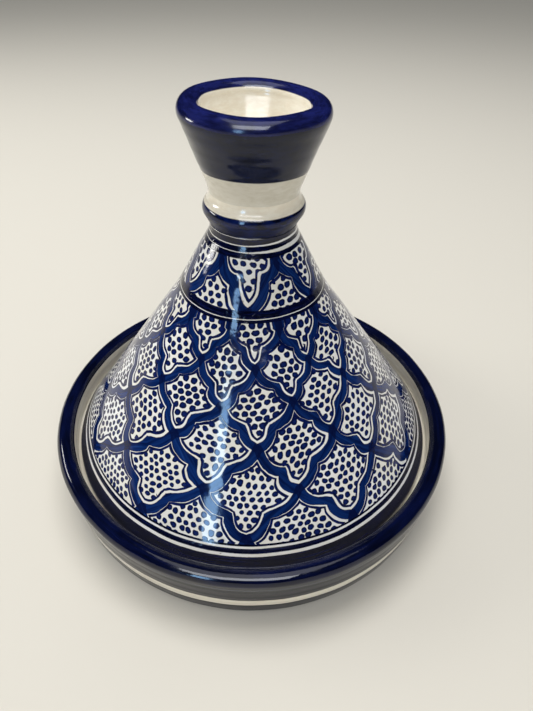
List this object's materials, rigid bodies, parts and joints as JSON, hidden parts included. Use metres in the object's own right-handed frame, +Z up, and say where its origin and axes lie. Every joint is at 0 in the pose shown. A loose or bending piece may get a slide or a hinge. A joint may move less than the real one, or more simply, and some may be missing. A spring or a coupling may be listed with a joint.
{
  "type": "tagine pot",
  "caption": "Glazed serving tagine: shallow round dish with a rolled rim and a gallery that seats a tall conical lid with a cupped knob.",
  "frame": {"origin": "centre of the foot ring, on the plane that the pot stands on", "axes": "+Z up along the axis that every piece is turned about; X and Y are free, as the pot is round"},
  "size_m": [0.25, 0.25, 0.225],
  "materials": {
    "dish_glaze": "gloss navy glaze over cream, unglazed foot",
    "lid_painted_glaze": "gloss clear glaze over cobalt brushwork on cream",
    "knob_glaze": "gloss navy and cream glaze"
  },
  "bodies": {
    "base": {"base_dish": "dish_glaze"},
    "lid": {"lid_cone": "lid_painted_glaze", "lid_knob": "knob_glaze"}
  },
  "joints": [
    {"name": "lid_lift", "type": "slide", "parent": "base", "child": "lid", "axis": [0, 0, 1], "range_m": [0, 0.16]}
  ]
}
